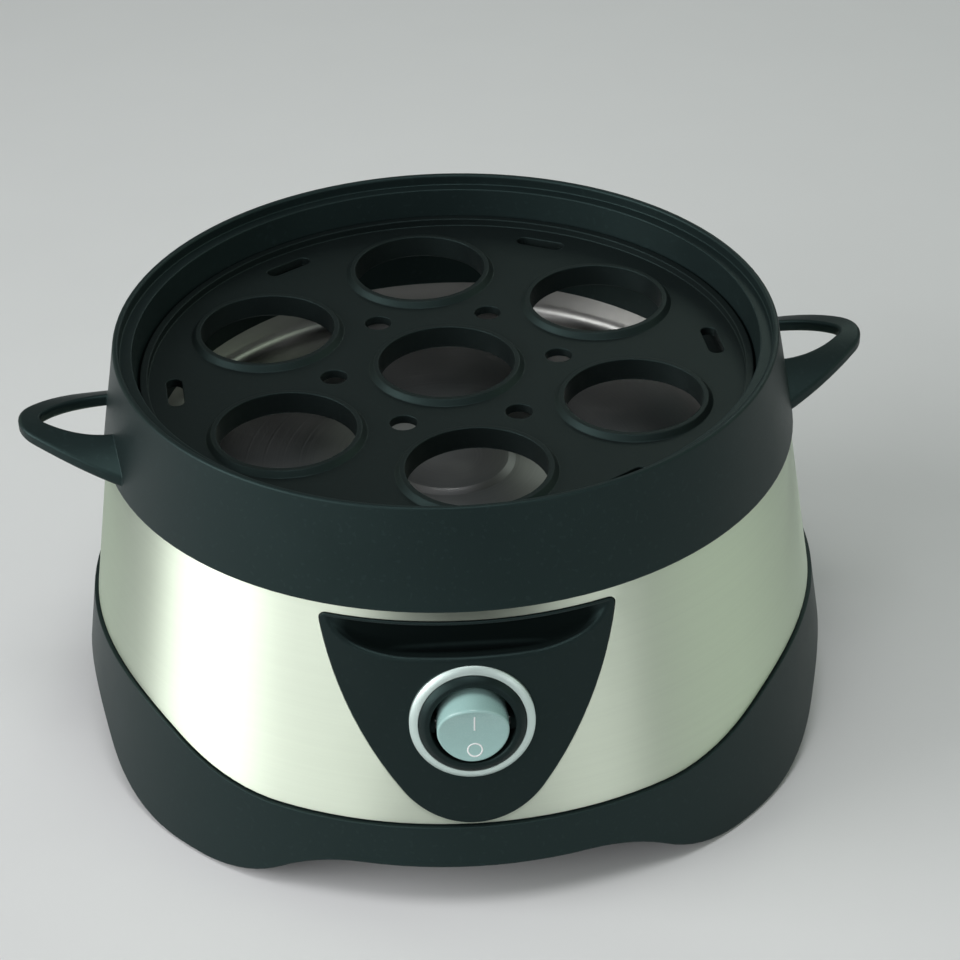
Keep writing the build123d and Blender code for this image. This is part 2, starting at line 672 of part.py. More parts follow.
SWITCH_FLOOR = SWITCH_DEPTH - SWITCH_BACK_T
PANEL_SKIN = PANEL_PROUD + BAND_T + 2 * SLEEVE_GAP + HOUSING_WALL + PANEL_FLANGE_T
PIVOT = Plane(
    origin=SWITCH.from_local_coords((0, 0, -PIVOT_DROP)), x_dir=SWITCH.y_dir, z_dir=SWITCH.x_dir
)
PIVOT_END = MOUTH_R + PIVOT_REACH
with BuildPart() as switch_body:
    body_out = RING_IN - 2 * SCREW_GAP
    mouth_out = MOUTH_R + 2 * MOUTH_LIP
    with BuildSketch(section_plane(SWITCH)):
        with BuildLine():
            TangentArc((body_out, RING_RISE), (mouth_out, COLLAR_RISE), tangent=(-1, 1.4))
            Polyline(
                (mouth_out, COLLAR_RISE),
                (0, COLLAR_RISE),
                (0, -SWITCH_DEPTH),
                (SWITCH_TUBE_R, -SWITCH_DEPTH),
                (SWITCH_TUBE_R, -RING_SINK),
                (body_out, -RING_SINK),
                (body_out, RING_RISE),
            )
        make_face()
    revolve(axis=Axis(SWITCH.origin, SWITCH.z_dir))
    snap_top = -PANEL_SKIN - SNAP_GAP
    add(block(SWITCH, 2 * (SWITCH_TUBE_R + SNAP_OUT), SNAP_W, snap_top - SNAP_H, snap_top))
    add(bar(SWITCH, MOUTH_R, -SWITCH_FLOOR, FAR / 4), mode=Mode.SUBTRACT)
    mouth = switch_body.edges().filter_by(GeomType.CIRCLE)
    fillet(mouth.group_by(Axis(SWITCH.origin, SWITCH.z_dir))[-1], MOUTH_LIP * 0.9)
    bearing_in, bearing_out = ROCKER_R + BEARING_GAP, MOUTH_R + TUBE_WALL / 2
    for low, high in ((bearing_in, bearing_out), (-bearing_out, -bearing_in)):
        add(bar(PIVOT, PIVOT_R + BEARING_WALL, low, high))
    add(bar(PIVOT, PIVOT_R + PIN_GAP, -PIVOT_END - PIN_GAP, PIVOT_END + PIN_GAP), mode=Mode.SUBTRACT)
    for y in (0, -OUT_Y):
        slot = block(SWITCH, BLADE_W + PIN_GAP, BLADE_T + PIN_GAP, -SWITCH_DEPTH - 1, -SWITCH_FLOOR + 1, y=y)
        add(slot, mode=Mode.SUBTRACT)
save(switch_body, "switch_body")

# Rocker, standing off with its upper end out
ROCKER = Plane(
    origin=PIVOT.origin,
    x_dir=SWITCH.x_dir,
    z_dir=SWITCH.z_dir * cos(radians(ROCKER_TILT)) - SWITCH.y_dir * sin(radians(ROCKER_TILT)),
)
ROCKER_SIDE = Plane(origin=ROCKER.origin, x_dir=ROCKER.y_dir, z_dir=ROCKER.x_dir)
BORE_R = PLUNGER_R + PIN_GAP
with BuildPart() as switch_rocker:
    add(bar(ROCKER, ROCKER_R, -ROCKER_ROOT, ROCKER_EDGE))
    with BuildSketch(ROCKER_SIDE):
        with Locations((0, ROCKER_EDGE + sqrt(ROCKER_HOLLOW_R**2 - ROCKER_R**2))):
            Circle(ROCKER_HOLLOW_R)
    extrude(amount=2 * ROCKER_R, both=True, mode=Mode.SUBTRACT)
    hollow = switch_rocker.faces().filter_by(
        lambda face: face.geom_type == GeomType.CYLINDER and abs(face.radius - ROCKER_HOLLOW_R) < PIN_GAP
    )
    fillet(hollow.edges(), ROCKER_ROUND)
    add(bar(PIVOT, PIVOT_R, -PIVOT_END, PIVOT_END))
    add(bar(ROCKER, STEM_R, -STEM_END, 0))
    add(bar(ROCKER, BORE_R, -STEM_END, -BORE_TOP), mode=Mode.SUBTRACT)
save(switch_rocker, "switch_rocker")

PLUNGER_TOP = STEM_END - PLUNGER_SUNK
with BuildPart() as switch_plunger:
    add(bar(ROCKER, PLUNGER_R, -PLUNGER_END, -PLUNGER_TOP))
    along = Axis(ROCKER.origin, ROCKER.z_dir)
    fillet(switch_plunger.edges().group_by(along)[0], PLUNGER_R * 0.8)
save(switch_plunger, "switch_plunger")

with BuildPart() as switch_spring:
    coil_h = PLUNGER_TOP - BORE_TOP - 2 * (SPRING_WIRE_R + PIN_GAP)
    coil = Helix(pitch=coil_h / SPRING_TURNS, height=coil_h, radius=SPRING_R)
    with BuildPart(mode=Mode.PRIVATE) as wound:
        with BuildSketch(Plane(origin=coil @ 0, z_dir=coil % 0)):
            Circle(SPRING_WIRE_R)
        sweep(path=coil, is_frenet=True)
    add(ROCKER.offset(-PLUNGER_TOP + SPRING_WIRE_R + PIN_GAP).location * wound.part)
save(switch_spring, "switch_spring")

# See-saw contact lever, its upper arm pressed in, and the two terminals
LEVER = Plane(
    origin=SWITCH.from_local_coords((0, 0, -LEVER_DROP)),
    x_dir=SWITCH.x_dir,
    z_dir=SWITCH.z_dir * cos(radians(LEVER_TILT)) + SWITCH.y_dir * sin(radians(LEVER_TILT)),
)
LEVER_SIDE = Plane(origin=LEVER.origin, x_dir=SWITCH.y_dir, z_dir=SWITCH.x_dir)
with BuildPart() as contact_lever:
    add(block(LEVER, LEVER_W, 2 * LEVER_HALF, LEVER_BEAD_R - LEVER_T, LEVER_BEAD_R))
    add(bar(LEVER_SIDE, LEVER_BEAD_R, -LEVER_W / 2, LEVER_W / 2))
save(contact_lever, "contact_lever")

BLADE_END = SWITCH_DEPTH + BLADE_OUT
with BuildPart() as switch_terminal_in:
    cradle_top = -LEVER_DROP - CRADLE_DROP
    add(block(SWITCH, LEVER_W, 2 * CRADLE_HALF, cradle_top - CRADLE_H, cradle_top))
    add(bar(LEVER_SIDE, LEVER_BEAD_R + PIN_GAP, -LEVER_W, LEVER_W), mode=Mode.SUBTRACT)
    add(block(SWITCH, BLADE_W, BLADE_T, -BLADE_END, cradle_top - CRADLE_H))
save(switch_terminal_in, "switch_terminal_in")

with BuildPart() as switch_terminal_out:
    lever_under = LEVER_BEAD_R - LEVER_T
    pad_top = lever_under - LEVER_DROP - LEVER_HALF * sin(radians(LEVER_TILT)) - CONTACT_GAP
    pad = SWITCH.from_local_coords((0, -OUT_Y, 0))
    add(bar(Plane(origin=pad, x_dir=SWITCH.x_dir, z_dir=SWITCH.z_dir), PAD_R, -SWITCH_FLOOR, pad_top))
    add(block(SWITCH, BLADE_W, BLADE_T, -BLADE_END, -SWITCH_FLOOR, y=-OUT_Y))
save(switch_terminal_out, "switch_terminal_out")

# Heating pan: shallow dish with a flange, a raised middle and rounded corners
PAN_FLOOR_R = PAN_WALL_R - PAN_WALL_LEAN
PAN_RIM_R = BAND_TOP_R - BAND_T - SLEEVE_GAP
with BuildPart() as heating_pan:
    slope_r = PAN_DIMPLE_R + 2 * PAN_DIMPLE_H
    with BuildSketch(Plane.XZ) as dish:
        with BuildLine():
            Polyline(
                (0, PAN_FLOOR + PAN_DIMPLE_H),
                (PAN_DIMPLE_R, PAN_FLOOR + PAN_DIMPLE_H),
                (slope_r, PAN_FLOOR),
                (PAN_FLOOR_R, PAN_FLOOR),
                (PAN_WALL_R, FLANGE_TOP),
                (PAN_RIM_R, FLANGE_TOP),
                (PAN_RIM_R, FLANGE_LOW),
                (PAN_WALL_R + PAN_T, FLANGE_LOW),
                (PAN_FLOOR_R + PAN_T, PAN_UNDER),
                (slope_r, PAN_UNDER),
                (PAN_DIMPLE_R, PAN_UNDER + PAN_DIMPLE_H),
                (0, PAN_UNDER + PAN_DIMPLE_H),
                close=True,
            )
        make_face()
        fillet(dish.vertices().sort_by_distance((PAN_FLOOR_R, PAN_FLOOR))[0], PAN_CORNER)
        fillet(dish.vertices().sort_by_distance((PAN_FLOOR_R + PAN_T, PAN_UNDER))[0], PAN_CORNER + PAN_T)
        fillet(dish.vertices().sort_by_distance((PAN_WALL_R, FLANGE_TOP))[0], 2 * PAN_T)
    revolve(axis=Axis.Z)
save(heating_pan, "heating_pan")

with BuildPart() as pan_gasket:
    gasket_in = ledge_in + LEDGE_CLEAR / 2
    gasket_out = gasket_in + GASKET_W
    low, high = HOUSING_TOP, FLANGE_LOW
    add(turned([(gasket_in, low), (gasket_out, low), (gasket_out, high), (gasket_in, high)]))
save(pan_gasket, "pan_gasket")

STUD_SPOTS = [(STUD_CIRCLE * cos(radians(a)), STUD_CIRCLE * sin(radians(a))) for a in STUD_AZIMUTHS]
with BuildPart() as pan_studs:
    with BuildSketch(Plane.XY.offset(PAN_UNDER)):
        with Locations(*STUD_SPOTS):
            Circle(STUD_R)
    extrude(amount=-STUD_L)
save(pan_studs, "pan_studs")

with BuildPart() as pan_nuts:
    with BuildSketch(Plane.XY.offset(LUG_TOP - LUG_T)):
        with Locations(*STUD_SPOTS):
            RegularPolygon(NUT_R, 6)
            Circle(STUD_R + SCREW_GAP, mode=Mode.SUBTRACT)
    extrude(amount=-NUT_H)
save(pan_nuts, "pan_nuts")

# Heat spreader under the pan, and the element lying in its groove
SPREADER_SCREWS = [
    (-BRACKET_SCREW_X, 0),
    (BRACKET_SCREW_X, 0),
    (0, FUSE_Y - STRAP_SCREW_Y),
    (0, FUSE_Y + STRAP_SCREW_Y),
]
TURN_AT = 90 - ELEMENT_GAP_DEG / 2
TAIL_X = (ELEMENT_R + ELEMENT_TURN_R) * cos(radians(TURN_AT)) - ELEMENT_TURN_R
TAIL_Y = (ELEMENT_R + ELEMENT_TURN_R) * sin(radians(TURN_AT)) + ELEMENT_TAIL
with BuildPart() as heat_spreader:
    add(bar(Plane.XY, SPREADER_R, SPREADER_LOW, PAN_UNDER))
    add(bar(Plane.XY, SPREADER_HOLE_R, SPREADER_LOW, PAN_UNDER), mode=Mode.SUBTRACT)
    with BuildSketch(Plane.XZ):
        with Locations((ELEMENT_R, ELEMENT_Z)):
            Circle(ELEMENT_TUBE_R + PIN_GAP)
    revolve(axis=Axis.Z, mode=Mode.SUBTRACT)
    notch_half = ELEMENT_R * cos(radians(TURN_AT)) + 2 * ELEMENT_TUBE_R
    notch_y = sqrt(ELEMENT_R**2 - notch_half**2)
    notch = block(Plane.XY, 2 * notch_half, FAR, SPREADER_LOW, PAN_UNDER, y=notch_y + FAR / 2)
    add(notch, mode=Mode.SUBTRACT)
    with BuildSketch(Plane.XY.offset(SPREADER_LOW)):
        with Locations(*SPREADER_SCREWS):
            Circle(SPREADER_SCREW_R + SCREW_GAP)
    extrude(amount=SPREADER_BITE + SCREW_GAP, mode=Mode.SUBTRACT)
save(heat_spreader, "heat_spreader")

with BuildPart() as heating_element:
    with BuildLine() as loop:
        ring = CenterArc((0, 0), ELEMENT_R, 180 - TURN_AT, 360 - ELEMENT_GAP_DEG)
        bend = JernArc(ring @ 1, ring % 1, ELEMENT_TURN_R, -TURN_AT)
        tail = Line(bend @ 1, bend @ 1 + Vector(0, ELEMENT_TAIL))
        mirror([bend, tail], about=Plane.YZ)
    with BuildPart(mode=Mode.PRIVATE) as tube:
        with BuildSketch(Plane(loop.wire() ^ 0)):
            Circle(ELEMENT_TUBE_R)
        sweep(path=loop.wire())
    add(Location((0, 0, ELEMENT_Z)) * tube.part)
save(heating_element, "heating_element")

with BuildPart() as element_pins:
    with BuildSketch(Plane.XZ.offset(-TAIL_Y)):
        with Locations((-TAIL_X, ELEMENT_Z), (TAIL_X, ELEMENT_Z)):
            Circle(ELEMENT_PIN_R)
    extrude(amount=-ELEMENT_PIN_L)
save(element_pins, "element_pins")

# Thermostat in the middle, on a bracket screwed to the spreader
THERMO_LOW = SPREADER_LOW - THERMO_H
with BuildPart() as thermostat:
    add(bar(Plane.XY, THERMO_CAP_R, SPREADER_LOW, PAN_UNDER + PAN_DIMPLE_H))
    add(bar(Plane.XY, THERMO_R, THERMO_LOW, SPREADER_LOW))
    for x in (-THERMO_R / 2, THERMO_R / 2):
        add(block(Plane.XY, BLADE_T, BLADE_W, THERMO_LOW - THERMO_BLADE_L, THERMO_LOW, x=x))
save(thermostat, "thermostat")

with BuildPart() as thermostat_bracket:
    with BuildSketch(Plane.XY.offset(SPREADER_LOW)):
        Rectangle(BRACKET_L, BRACKET_W)
        Circle(THERMO_R + BRACKET_EYE)
        Circle(THERMO_R + SCREW_GAP, mode=Mode.SUBTRACT)
        with Locations(*SPREADER_SCREWS[:2]):
            Circle(SPREADER_SCREW_R + 2 * SCREW_GAP, mode=Mode.SUBTRACT)
    extrude(amount=-BRACKET_T)
save(thermostat_bracket, "thermostat_bracket")

FUSE_Z = SPREADER_LOW - FUSE_R
FUSE = Plane(origin=(0, FUSE_Y, FUSE_Z), x_dir=(0, 1, 0), z_dir=(1, 0, 0))
FUSE_END = FUSE_L / 2 + FUSE_LEAD_L
with BuildPart() as thermal_fuse:
    add(bar(FUSE, FUSE_R, -FUSE_L / 2, FUSE_L / 2))
    add(bar(FUSE, FUSE_LEAD_R, -FUSE_END, FUSE_END))
save(thermal_fuse, "thermal_fuse")

with BuildPart() as fuse_strap:
    with BuildSketch(FUSE):
        Circle(FUSE_R + SCREW_GAP + BRACKET_T)
        with Locations((0, FUSE_R - BRACKET_T / 2)):
            Rectangle(2 * STRAP_HALF, BRACKET_T)
        Circle(FUSE_R + SCREW_GAP, mode=Mode.SUBTRACT)
        Rectangle(2 * (FUSE_R + SCREW_GAP), FAR, align=(Align.CENTER, Align.MIN), mode=Mode.SUBTRACT)
        with Locations((0, FUSE_R)):
            Rectangle(FAR, FAR, align=(Align.CENTER, Align.MIN), mode=Mode.SUBTRACT)
    extrude(amount=STRAP_W / 2, both=True)
    with BuildSketch(Plane.XY.offset(SPREADER_LOW)):
        with Locations(*SPREADER_SCREWS[2:]):
            Circle(SPREADER_SCREW_R + 2 * SCREW_GAP)
    extrude(amount=-2 * BRACKET_T, mode=Mode.SUBTRACT)
save(fuse_strap, "fuse_strap")

with BuildPart() as spreader_screws:
    for x, y in SPREADER_SCREWS:
        spot = Plane((x, y, SPREADER_LOW - BRACKET_T))
        add(bar(spot, SPREADER_HEAD_R, -SPREADER_HEAD_H, 0))
        add(bar(spot, SPREADER_SCREW_R, 0, BRACKET_T + SPREADER_BITE))
save(spreader_screws, "spreader_screws")

# Mains entry: inlet gland, cord clamp and terminal block
with BuildPart() as cord_inlet:
    lock_top = -GLAND_WALL - GLAND_LOCK_GAP
    add(bar(GLAND, GLAND_BODY_R, -GLAND_WALL - GLAND_INSIDE, 0))
    add(bar(GLAND, GLAND_FLANGE_R, 0, GLAND_FLANGE_T))
    add(bar(GLAND, GLAND_FLANGE_R, lock_top - GLAND_LOCK_T, lock_top))
    out = Axis(GLAND.origin, GLAND.z_dir)
    fillet(cord_inlet.edges().filter_by(GeomType.CIRCLE).group_by(out)[-1], GLAND_FLANGE_T / 2)
    add(bar(GLAND, GLAND_BORE_R, -FAR / 8, FAR / 8), mode=Mode.SUBTRACT)
save(cord_inlet, "cord_inlet")

CLAMP_Z = GLAND_Z + CLAMP_BITE / 2
CLAMP_SPOTS = [(-CLAMP_HALF, clamp_y), (CLAMP_HALF, clamp_y)]
with BuildPart() as cord_clamp:
    with BuildSketch(Plane.XY.offset(CLAMP_Z)):
        with Locations((0, clamp_y)):
            SlotOverall(2 * CLAMP_HALF + CLAMP_W, CLAMP_W)
        with Locations(*CLAMP_SPOTS):
            Circle(PANEL_SCREW_R + 2 * SCREW_GAP, mode=Mode.SUBTRACT)
    extrude(amount=CLAMP_T)
save(cord_clamp, "cord_clamp")

with BuildPart() as clamp_screws:
    for x, y in CLAMP_SPOTS:
        spot = Plane((x, y, CLAMP_Z + CLAMP_T))
        add(bar(spot, PANEL_SCREW_HEAD_R, 0, PANEL_SCREW_HEAD_H))
        add(bar(spot, PANEL_SCREW_R, -CLAMP_T - CLAMP_SCREW_L, 0))
save(clamp_screws, "clamp_screws")

POLE_Z = PLATE_TOP + POLE_UP
BLOCK_TOP = PLATE_TOP + BLOCK_H
POLE_XS = (-POLE_PITCH, 0, POLE_PITCH)
BLOCK_SCREW_XS = (-POLE_PITCH / 2, POLE_PITCH / 2)
with BuildPart() as terminal_block:
    add(block(Plane.XY, BLOCK_L, BLOCK_W, PLATE_TOP, BLOCK_TOP, y=BLOCK_Y))
    with BuildSketch(Plane.XZ):
        with Locations(*[(x, POLE_Z) for x in POLE_XS]):
            Circle(POLE_R)
    extrude(amount=-2 * BLOCK_Y, mode=Mode.SUBTRACT)
    with BuildSketch(Plane.XY.offset(POLE_Z)):
        with Locations(*[(x, BLOCK_Y) for x in POLE_XS]):
            Circle(POLE_SCREW_R + SCREW_GAP)
    extrude(amount=BLOCK_H, mode=Mode.SUBTRACT)
    with Locations(*[(x, BLOCK_Y, BLOCK_TOP) for x in BLOCK_SCREW_XS]):
        head_hole = PANEL_SCREW_HEAD_R + SCREW_GAP
        CounterBoreHole(PANEL_SCREW_R + 2 * SCREW_GAP, head_hole, BLOCK_SCREW_SINK, BLOCK_H)
save(terminal_block, "terminal_block")

with BuildPart() as terminal_screws:
    with BuildSketch(Plane.XY.offset(POLE_Z + POLE_R)):
        with Locations(*[(x, BLOCK_Y) for x in POLE_XS]):
            Circle(POLE_SCREW_R)
    extrude(amount=BLOCK_TOP - POLE_Z - POLE_R - BLOCK_SCREW_SINK / 2)
save(terminal_screws, "terminal_screws")

with BuildPart() as block_screws:
    for x in BLOCK_SCREW_XS:
        spot = Plane((x, BLOCK_Y, BLOCK_TOP - BLOCK_SCREW_SINK))
        add(bar(spot, PANEL_SCREW_HEAD_R, 0, PANEL_SCREW_HEAD_H))
        add(bar(spot, PANEL_SCREW_R, BLOCK_SCREW_SINK - BLOCK_H - PLATE_T, 0))
save(block_screws, "block_screws")


# Wires
def wire(name, *points):
    """Insulated wire through a few points with round bends."""
    with BuildPart() as lead:
        with BuildLine() as path:
            FilletPolyline(*points, radius=WIRE_BEND)
        with BuildSketch(Plane(path.wire() ^ 0)):
            Circle(WIRE_R)
        sweep(path=path.wire())
    save(lead, name)


def behind_switch(y, further):
    """Point behind a switch blade."""
    return SWITCH.from_local_coords((0, y, -BLADE_END - SCREW_GAP - further))


POLE_IN = BLOCK_Y - BLOCK_W / 2 + POLE_DEPTH
RUN_LOW = POLE_Z
RUN_MID = THERMO_LOW - THERMO_BLADE_L - 2 * WIRE_BEND
RUN_SIDE = ELEMENT_R - 2 * WIRE_BEND
PIN_END = TAIL_Y + ELEMENT_PIN_L + SCREW_GAP
REAR_RUN = PIN_END + 2.6 * WIRE_BEND
THERMO_END = THERMO_LOW - THERMO_BLADE_L - SCREW_GAP
FUSE_TURN = FUSE_END + 1.6 * WIRE_BEND
stud_x, stud_y = STUD_SPOTS[2]
stud_low = PAN_UNDER - STUD_L - SCREW_GAP
wire(
    "wire_live",
    (-POLE_PITCH, POLE_IN, RUN_LOW),
    (-POLE_PITCH, 0, RUN_LOW),
    LIVE_KNEE,
    behind_switch(0, 2 * WIRE_BEND),
    behind_switch(0, 0),
)
wire(
    "wire_switched",
    behind_switch(-OUT_Y, 0),
    behind_switch(-OUT_Y, 2 * WIRE_BEND),
    (-THERMO_R / 2, SWITCHED_KNEE_Y, RUN_MID),
    (-THERMO_R / 2, 0, RUN_MID),
    (-THERMO_R / 2, 0, THERMO_END),
)
wire(
    "wire_fuse",
    (THERMO_R / 2, 0, THERMO_END),
    (THERMO_R / 2, 0, RUN_MID),
    (*FUSE_KNEE, RUN_MID),
    (FUSE_TURN, FUSE_Y, RUN_MID + WIRE_BEND),
    (FUSE_TURN, FUSE_Y, FUSE_Z),
    (FUSE_END + SCREW_GAP, FUSE_Y, FUSE_Z),
)
wire(
    "wire_element",
    (-FUSE_END - SCREW_GAP, FUSE_Y, FUSE_Z),
    (-FUSE_TURN, FUSE_Y, FUSE_Z),
    (-FUSE_TURN, FUSE_Y, RUN_MID + WIRE_BEND),
    (-RUN_SIDE, 0, RUN_MID + WIRE_BEND),
    (-RUN_SIDE, BLOCK_Y, RUN_MID + WIRE_BEND),
    (-TAIL_X, REAR_RUN, RUN_MID + WIRE_BEND),
    (-TAIL_X, REAR_RUN, ELEMENT_Z),
    (-TAIL_X, PIN_END, ELEMENT_Z),
)
wire(
    "wire_neutral",
    (POLE_PITCH, POLE_IN, RUN_LOW),
    (POLE_PITCH, BLOCK_Y / 2, RUN_LOW),
    (RUN_SIDE, BLOCK_Y / 2, RUN_LOW + WIRE_BEND),
    (RUN_SIDE, BLOCK_Y, RUN_MID + WIRE_BEND),
    (TAIL_X, REAR_RUN, RUN_MID + WIRE_BEND),
    (TAIL_X, REAR_RUN, ELEMENT_Z),
    (TAIL_X, PIN_END, ELEMENT_Z),
)
wire(
    "wire_earth",
    (0, POLE_IN, RUN_LOW),
    (0, 0, RUN_LOW),
    (*EARTH_KNEE, RUN_LOW + EARTH_CLIMB),
    (stud_x, stud_y, stud_low - 2 * WIRE_BEND),
    (stud_x, stud_y, stud_low),
)


# Egg carrier: double-walled collar with a lid ledge and two loop handles
def loop_outline(tip, tip_r, root, half):
    """Outline with a round nose and bowed sides, symmetrical about X, that runs on inwards from its root."""
    flank = tip_r * sin(radians(45))
    shoulder = tip - tip_r + flank
    inner = root - COLLAR_WALL
    with BuildSketch(mode=Mode.PRIVATE) as outline:
        with BuildLine():
            ThreePointArc((shoulder, flank), (tip, 0), (shoulder, -flank))
            TangentArc((shoulder, flank), (root, half), tangent=(-1, 1))
            TangentArc((shoulder, -flank), (root, -half), tangent=(-1, -1))
            Polyline((root, half), (inner, half), (inner, -half), (root, -half))
        make_face()
    return outline.sketch


def handle(turn):
    """Loop handle along the turned X axis: an arched plate with a grip hole."""
    seat = Plane.XY.rotated((0, 0, turn)).offset(BASE_H)
    tip = COLLAR_R + HANDLE_TIP
    root = collar_r(BASE_H + HANDLE_TOP)
    arch_low = seat.from_local_coords((0, 0, HANDLE_TOP - HANDLE_ARCH_R))
    with BuildPart(mode=Mode.PRIVATE) as plate:
        with BuildSketch(Plane(origin=arch_low, x_dir=seat.y_dir, z_dir=seat.x_dir)):
            Circle(HANDLE_ARCH_R)
            Circle(HANDLE_ARCH_R - HANDLE_T, mode=Mode.SUBTRACT)
        extrude(amount=FAR)
        with BuildSketch(seat):
            add(loop_outline(tip, HANDLE_TIP_R, root - COLLAR_WALL, HANDLE_ROOT_HALF))
            grip = loop_outline(tip - GRIP_TIP, GRIP_TIP_R, root - COLLAR_WALL / 2, GRIP_HALF)
            add(grip, mode=Mode.SUBTRACT)
        extrude(amount=HANDLE_TOP + HANDLE_T, mode=Mode.INTERSECT)
        fillet(plate.edges().filter_by(GeomType.BSPLINE), HANDLE_ROUND)
        core = [(0, 0)] + [(collar_r(z) - COLLAR_WALL / 2, z) for z in (0, RIM_Z)] + [(0, RIM_Z)]
        add(turned(core), mode=Mode.SUBTRACT)
    return plate.part


LEDGE_R = RIM_R - RIM_W - LID_STEP_W
LEDGE_Z = RIM_Z - LID_STEP_H
RACK_SEAT_R = LEDGE_R - INNER_LEAN
RACK_SEAT_Z = RACK_LOW - SEAT_GAP
INNER_R = RACK_SEAT_R - RACK_STEP_W
INNER_LOW = BASE_H - INNER_DIP
with BuildPart() as egg_carrier:
    roof_z = LEDGE_Z - COLLAR_WALL
    add(
        turned(
            [
                (COLLAR_R, BASE_H),
                (RIM_R, RIM_Z),
                (RIM_R - RIM_W, RIM_Z),
                (RIM_R - RIM_W, LEDGE_Z),
                (LEDGE_R, LEDGE_Z),
                (RACK_SEAT_R, RACK_SEAT_Z),
                (INNER_R, RACK_SEAT_Z),
                (INNER_R, INNER_LOW),
                (INNER_R + COLLAR_WALL, INNER_LOW),
                (RACK_SEAT_R + COLLAR_WALL, RACK_SEAT_Z),
                (LEDGE_R + COLLAR_WALL, roof_z),
                (collar_r(roof_z) - COLLAR_WALL, roof_z),
                (COLLAR_R - COLLAR_WALL, BASE_H),
            ]
        )
    )
    rim = egg_carrier.edges().filter_by(GeomType.CIRCLE).group_by(Axis.Z)[-1]
    fillet(rim, RIM_W * 0.4)
    add(handle(CARRIER_TURN))
    add(handle(CARRIER_TURN + 180))
save(egg_carrier, "egg_carrier")

# Egg rack: a plate of ringed holes that lifts out of the carrier
with BuildPart() as egg_rack:
    rack_r = RACK_SEAT_R - RACK_GAP
    pitch = rack_r - EGG_HOLE_R - EGG_EDGE
    ahead = -90 + RACK_TURN
    spots = [(0, 0)]
    for k in range(EGG_COUNT):
        turn = radians(ahead + 360 * k / EGG_COUNT)
        spots.append((pitch * cos(turn), pitch * sin(turn)))
    add(bar(Plane.XY, rack_r, RACK_LOW, RACK_TOP))
    with BuildSketch(Plane.XY.offset(RACK_TOP)):
        Circle(rack_r)
        Circle(rack_r - RACK_RIM_W, mode=Mode.SUBTRACT)
    extrude(amount=RACK_RIM_H)
    for x, y in spots:
        ringed = [
            (0, RACK_LOW - LIP_DROP),
            (EGG_HOLE_R + LIP_W / 2, RACK_LOW - LIP_DROP),
            (EGG_HOLE_R + LIP_W / 2, RACK_LOW),
            (EGG_HOLE_R + LIP_W, RACK_TOP),
            (EGG_HOLE_R + LIP_W / 2, RACK_TOP + LIP_H),
            (0, RACK_TOP + LIP_H),
        ]
        add(turned(ringed, Plane((x, y, 0))))
    with BuildSketch(Plane.XY.offset(RACK_LOW - LIP_DROP)):
        with Locations(*spots):
            Circle(EGG_HOLE_R)
    extrude(amount=LIP_DROP + RACK_T + LIP_H, mode=Mode.SUBTRACT)
    with BuildSketch(Plane.XY.offset(RACK_LOW)):
        between = ahead + 180 / EGG_COUNT
        with PolarLocations(pitch / sqrt(3), EGG_COUNT, start_angle=between):
            Circle(STEAM_HOLE_R)
        with PolarLocations(rack_r - SLOT_EDGE, EGG_COUNT, start_angle=between):
            SlotOverall(SLOT_L, SLOT_W, rotation=90)
    extrude(amount=RACK_T, mode=Mode.SUBTRACT)
save(egg_rack, "egg_rack")
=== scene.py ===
"""Electric egg cooker: finishes, switch marks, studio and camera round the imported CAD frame."""

import json
import math

import bmesh
import bpy
from mathutils import Matrix, Vector


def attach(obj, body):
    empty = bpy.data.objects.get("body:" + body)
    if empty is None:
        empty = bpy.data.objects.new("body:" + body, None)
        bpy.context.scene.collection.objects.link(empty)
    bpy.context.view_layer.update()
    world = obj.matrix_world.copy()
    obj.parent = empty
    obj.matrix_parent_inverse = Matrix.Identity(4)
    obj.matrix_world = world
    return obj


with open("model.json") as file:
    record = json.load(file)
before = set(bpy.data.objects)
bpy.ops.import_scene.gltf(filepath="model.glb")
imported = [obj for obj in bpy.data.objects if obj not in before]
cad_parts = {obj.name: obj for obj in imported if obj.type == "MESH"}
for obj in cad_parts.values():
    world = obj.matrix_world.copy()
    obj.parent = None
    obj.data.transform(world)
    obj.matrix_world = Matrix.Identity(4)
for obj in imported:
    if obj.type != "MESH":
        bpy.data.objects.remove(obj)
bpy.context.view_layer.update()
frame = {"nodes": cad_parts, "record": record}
nodes = frame["nodes"]
MM = 0.001
AXIS_X, AXIS_Y, AXIS_Z = Vector((1, 0, 0)), Vector((0, 1, 0)), Vector((0, 0, 1))


class Value:
    """A node's socket that can be used in plain sums."""

    def __init__(self, graph, socket):
        self.graph = graph
        self.socket = socket

    def math(self, operation, first, second):
        return self.graph.node("ShaderNodeMath", {"operation": operation}, {0: first, 1: second})

    def __add__(self, other):
        return self.math("ADD", self, other)

    def __radd__(self, other):
        return self.math("ADD", other, self)

    def __sub__(self, other):
        return self.math("SUBTRACT", self, other)

    def __rsub__(self, other):
        return self.math("SUBTRACT", other, self)

    def __mul__(self, other):
        return self.math("MULTIPLY", self, other)

    def __rmul__(self, other):
        return self.math("MULTIPLY", other, self)

    def __pow__(self, other):
        return self.math("POWER", self, other)


class Graph:
    """A node tree whose nodes all come from one method."""

    def __init__(self, tree):
        self.tree = tree

    def node(self, kind, settings=None, sockets=None, out=0):
        """Any node: its settings first, then its sockets' values or links."""
        made = self.tree.nodes.new(kind)
        for key, value in (settings or {}).items():
            setattr(made, key, value)
        for key, value in (sockets or {}).items():
            links = value if isinstance(value, list) else [value]
            for link in links:
                if isinstance(link, Value):
                    self.tree.links.new(link.socket, made.inputs[key])
                else:
                    made.inputs[key].default_value = link
        return Value(self, made.outputs[out]) if made.outputs else None


